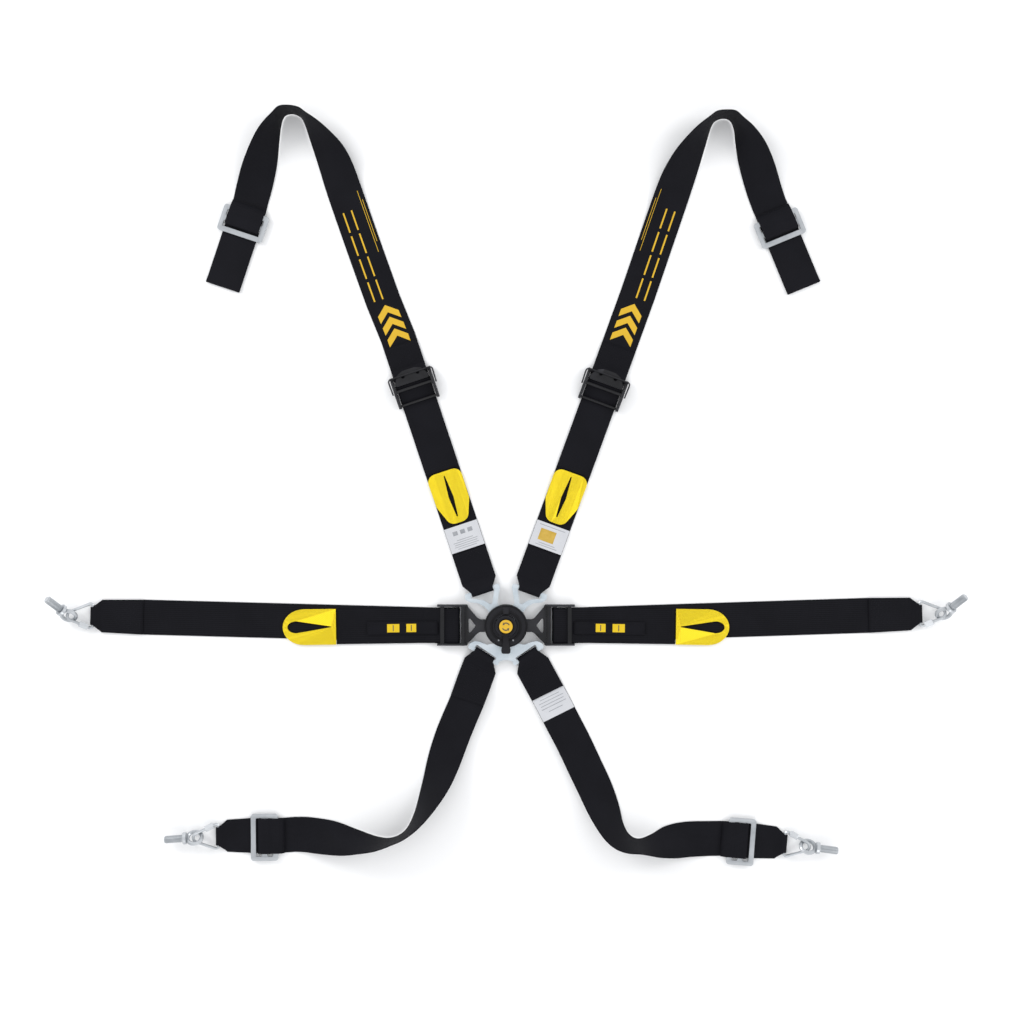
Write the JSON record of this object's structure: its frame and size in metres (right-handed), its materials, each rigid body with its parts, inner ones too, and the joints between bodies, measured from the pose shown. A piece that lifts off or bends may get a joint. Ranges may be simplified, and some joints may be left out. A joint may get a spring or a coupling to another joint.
{
  "type": "racing harness",
  "caption": "Racing harness laid flat: rotary cam-lock buckle with shoulder, lap and crotch straps in black webbing, with adjusters, sliders, links and eye bolts.",
  "frame": {"origin": "centre of the buckle's back face", "axes": "+Z out of the buckle's front, +X along the right lap strap, +Y towards the shoulder straps"},
  "size_m": [1.3004, 1.0749, 0.0512],
  "materials": {
    "webbing": "black woven polyester with a soft sheen",
    "yellow_webbing": "bright yellow woven tape",
    "label": "off-white woven label",
    "black_plastic": "matte black moulded nylon",
    "yellow_plastic": "glossy yellow cap",
    "black_metal": "satin black coated steel",
    "alloy": "pale satin aluminium",
    "zinc": "bright zinc-plated steel"
  },
  "bodies": {
    "buckle": {"buckle_base": "black_metal", "buckle_housing": "black_plastic", "spindle": "zinc", "detent_spring": "zinc", "index_stop": "black_plastic", "lap_retaining_pin": "zinc", "lap_tongue_left": "black_metal", "lap_adjuster_bar_left": "black_metal", "lap_webbing_left": "webbing"},
    "knob": {"release_knob": "black_plastic", "knob_cap": "yellow_plastic"},
    "pin_shoulder_left": {"lock_pin_shoulder_left": "zinc"},
    "pin_shoulder_right": {"lock_pin_shoulder_right": "zinc"},
    "pin_lap": {"lock_pin_lap": "zinc"},
    "pin_crotch": {"lock_pin_crotch": "zinc"},
    "tongue_shoulder_left": {"shoulder_tongue_left": "alloy"},
    "strap_shoulder_left": {"shoulder_lower_webbing_left": "webbing", "shoulder_label_left": "label", "shoulder_adjuster_frame_left": "black_metal", "shoulder_adjuster_roller_left": "black_metal", "shoulder_upper_webbing_left": "webbing", "shoulder_slider_left": "zinc"},
    "lever_left": {"shoulder_adjuster_lever_left": "black_metal", "shoulder_adjuster_bail_left": "black_metal"},
    "shoulder_loop_left": {"shoulder_pull_loop_left": "yellow_webbing"},
    "tongue_shoulder_right": {"shoulder_tongue_right": "alloy"},
    "strap_shoulder_right": {"shoulder_lower_webbing_right": "webbing", "shoulder_label_right": "label", "shoulder_adjuster_frame_right": "black_metal", "shoulder_adjuster_roller_right": "black_metal", "shoulder_upper_webbing_right": "webbing", "shoulder_slider_right": "zinc"},
    "lever_right": {"shoulder_adjuster_lever_right": "black_metal", "shoulder_adjuster_bail_right": "black_metal"},
    "shoulder_loop_right": {"shoulder_pull_loop_right": "yellow_webbing"},
    "lap_right": {"lap_tongue_right": "black_metal", "lap_adjuster_bar_right": "black_metal", "lap_webbing_right": "webbing"},
    "tab_left": {"lap_release_tab_left": "webbing"},
    "lap_loop_left": {"lap_pull_loop_left": "yellow_webbing"},
    "tab_right": {"lap_release_tab_right": "webbing"},
    "lap_loop_right": {"lap_pull_loop_right": "yellow_webbing"},
    "crotch": {"crotch_plate": "alloy"},
    "strap_crotch_left": {"crotch_webbing_left": "webbing", "crotch_slider_left": "zinc"},
    "strap_crotch_right": {"crotch_webbing_right": "webbing", "crotch_slider_right": "zinc"},
    "link_lap_left": {"lap_left_link": "zinc"},
    "nut_lap_left": {"lap_left_link_nut": "zinc"},
    "eye_lap_left": {"lap_left_eye_bolt": "zinc"},
    "link_lap_right": {"lap_right_link": "zinc"},
    "nut_lap_right": {"lap_right_link_nut": "zinc"},
    "eye_lap_right": {"lap_right_eye_bolt": "zinc"},
    "link_crotch_left": {"crotch_left_link": "zinc"},
    "nut_crotch_left": {"crotch_left_link_nut": "zinc"},
    "eye_crotch_left": {"crotch_left_eye_bolt": "zinc"},
    "link_crotch_right": {"crotch_right_link": "zinc"},
    "nut_crotch_right": {"crotch_right_link_nut": "zinc"},
    "eye_crotch_right": {"crotch_right_eye_bolt": "zinc"}
  },
  "joints": [
    {"name": "knob_turn", "type": "hinge", "parent": "buckle", "child": "knob", "pos_m": [0, 0, 0.024], "axis": [0, 0, 1], "range_deg": [0, 45]},
    {"name": "shoulder_left_pin_drop", "type": "slide", "parent": "buckle", "child": "pin_shoulder_left", "axis": [0, 0, 1], "range_m": [-0.0056, 0]},
    {"name": "shoulder_right_pin_drop", "type": "slide", "parent": "buckle", "child": "pin_shoulder_right", "axis": [0, 0, 1], "range_m": [-0.0056, 0]},
    {"name": "lap_pin_drop", "type": "slide", "parent": "buckle", "child": "pin_lap", "axis": [0, 0, 1], "range_m": [-0.0056, 0]},
    {"name": "crotch_pin_drop", "type": "slide", "parent": "buckle", "child": "pin_crotch", "axis": [0, 0, 1], "range_m": [-0.0056, 0]},
    {"name": "shoulder_left_release", "type": "slide", "parent": "buckle", "child": "tongue_shoulder_left", "axis": [-0.5793, 0.8151, 0], "range_m": [0, 0.03]},
    {"name": "shoulder_left_fold", "type": "hinge", "parent": "tongue_shoulder_left", "child": "strap_shoulder_left", "pos_m": [-0.034, 0.05, 0.0075], "axis": [0.9488, 0.3159, 0], "range_deg": [0, 60]},
    {"name": "shoulder_left_lever", "type": "hinge", "parent": "strap_shoulder_left", "child": "lever_left", "pos_m": [-0.13248, 0.34605, 0.0112], "axis": [0.9488, 0.3159, 0], "range_deg": [0, 40]},
    {"name": "shoulder_left_loop_lift", "type": "hinge", "parent": "strap_shoulder_left", "child": "shoulder_loop_left", "pos_m": [-0.09034, 0.21937, 0.00225], "axis": [-0.9488, -0.3159, 0], "range_deg": [0, 50]},
    {"name": "shoulder_right_release", "type": "slide", "parent": "buckle", "child": "tongue_shoulder_right", "axis": [0.5793, 0.8151, 0], "range_m": [0, 0.03]},
    {"name": "shoulder_right_fold", "type": "hinge", "parent": "tongue_shoulder_right", "child": "strap_shoulder_right", "pos_m": [0.034, 0.05, 0.0075], "axis": [0.939, -0.344, 0], "range_deg": [0, 60]},
    {"name": "shoulder_right_lever", "type": "hinge", "parent": "strap_shoulder_right", "child": "lever_right", "pos_m": [0.14122, 0.343, 0.0112], "axis": [0.939, -0.344, 0], "range_deg": [0, 40]},
    {"name": "shoulder_right_loop_lift", "type": "hinge", "parent": "strap_shoulder_right", "child": "shoulder_loop_right", "pos_m": [0.09534, 0.21763, 0.00225], "axis": [-0.939, 0.344, 0], "range_deg": [0, 50]},
    {"name": "lap_right_release", "type": "slide", "parent": "buckle", "child": "lap_right", "axis": [1, 0, 0], "range_m": [0, 0.03]},
    {"name": "lap_left_tab_lift", "type": "hinge", "parent": "buckle", "child": "tab_left", "pos_m": [-0.0965, -0.003, 0.0086], "axis": [0, 1, 0], "range_deg": [0, 60]},
    {"name": "lap_left_loop_lift", "type": "hinge", "parent": "buckle", "child": "lap_loop_left", "pos_m": [-0.24299, -0.002, 0.00225], "axis": [-0.014, 0.9999, 0], "range_deg": [0, 50]},
    {"name": "lap_right_tab_lift", "type": "hinge", "parent": "lap_right", "child": "tab_right", "pos_m": [0.0965, -0.003, 0.0086], "axis": [0, -1, 0], "range_deg": [0, 60]},
    {"name": "lap_right_loop_lift", "type": "hinge", "parent": "lap_right", "child": "lap_loop_right", "pos_m": [0.24299, -0.002, 0.00225], "axis": [-0.014, -0.9999, 0], "range_deg": [0, 50]},
    {"name": "crotch_release", "type": "slide", "parent": "buckle", "child": "crotch", "axis": [0, -1, 0], "range_m": [0, 0.03]},
    {"name": "crotch_left_fold", "type": "hinge", "parent": "crotch", "child": "strap_crotch_left", "pos_m": [-0.0314, -0.0425, 0.0075], "axis": [-0.848, 0.53, 0], "range_deg": [0, 45]},
    {"name": "crotch_right_fold", "type": "hinge", "parent": "crotch", "child": "strap_crotch_right", "pos_m": [0.0314, -0.0425, 0.0075], "axis": [-0.848, -0.53, 0], "range_deg": [0, 45]},
    {"name": "lap_left_link_swing", "type": "hinge", "parent": "buckle", "child": "link_lap_left", "pos_m": [-0.58981, 0.01368, 0.0039], "axis": [0.028, 0.9996, 0], "range_deg": [0, 50]},
    {"name": "lap_left_nut_turn", "type": "hinge", "parent": "link_lap_left", "child": "nut_lap_left", "pos_m": [-0.60245, 0.0003, 0.00742], "axis": [-0.8774, 0.4062, 0.2551], "range_deg": [-180, 180]},
    {"name": "lap_left_eye_swivel", "type": "hinge", "parent": "link_lap_left", "child": "eye_lap_left", "pos_m": [-0.61191, 0.0143, 0.01224], "axis": [0, 0, 1], "range_deg": [-10, 5]},
    {"name": "lap_right_link_swing", "type": "hinge", "parent": "lap_right", "child": "link_lap_right", "pos_m": [0.59072, 0.01671, 0.0039], "axis": [0.034, -0.9994, 0], "range_deg": [0, 50]},
    {"name": "lap_right_nut_turn", "type": "hinge", "parent": "link_lap_right", "child": "nut_lap_right", "pos_m": [0.60344, 0.0034, 0.00742], "axis": [0.8748, 0.4119, 0.2549], "range_deg": [-180, 180]},
    {"name": "lap_right_eye_swivel", "type": "hinge", "parent": "link_lap_right", "child": "eye_lap_right", "pos_m": [0.61281, 0.01746, 0.01224], "axis": [0, 0, 1], "range_deg": [-5, 10]},
    {"name": "crotch_left_link_swing", "type": "hinge", "parent": "strap_crotch_left", "child": "link_crotch_left", "pos_m": [-0.4106, -0.30108, 0.0039], "axis": [-0.009, 1, 0], "range_deg": [0, 50]},
    {"name": "crotch_left_nut_turn", "type": "hinge", "parent": "link_crotch_left", "child": "nut_crotch_left", "pos_m": [-0.42298, -0.28745, 0.00742], "axis": [-0.8852, -0.3891, 0.2551], "range_deg": [-180, 180]},
    {"name": "crotch_left_eye_swivel", "type": "hinge", "parent": "link_crotch_left", "child": "eye_crotch_left", "pos_m": [-0.43271, -0.30127, 0.01224], "axis": [0, 0, 1], "range_deg": [-5, 10]},
    {"name": "crotch_right_link_swing", "type": "hinge", "parent": "strap_crotch_right", "child": "link_crotch_right", "pos_m": [0.39751, -0.31166, 0.0039], "axis": [-0.078, -0.997, 0], "range_deg": [0, 50]},
    {"name": "crotch_right_nut_turn", "type": "hinge", "parent": "link_crotch_right", "child": "nut_crotch_right", "pos_m": [0.41081, -0.29894, 0.00742], "axis": [0.8559, -0.4499, 0.255], "range_deg": [-180, 180]},
    {"name": "crotch_right_eye_swivel", "type": "hinge", "parent": "link_crotch_right", "child": "eye_crotch_right", "pos_m": [0.41955, -0.3134, 0.01224], "axis": [0, 0, 1], "range_deg": [-10, 5]}
  ],
  "couplings": [
    {"joint": "shoulder_left_pin_drop", "follows": "knob_turn", "m_per_rad": -0.007},
    {"joint": "shoulder_right_pin_drop", "follows": "knob_turn", "m_per_rad": -0.007},
    {"joint": "lap_pin_drop", "follows": "knob_turn", "m_per_rad": -0.007},
    {"joint": "crotch_pin_drop", "follows": "knob_turn", "m_per_rad": -0.007}
  ]
}
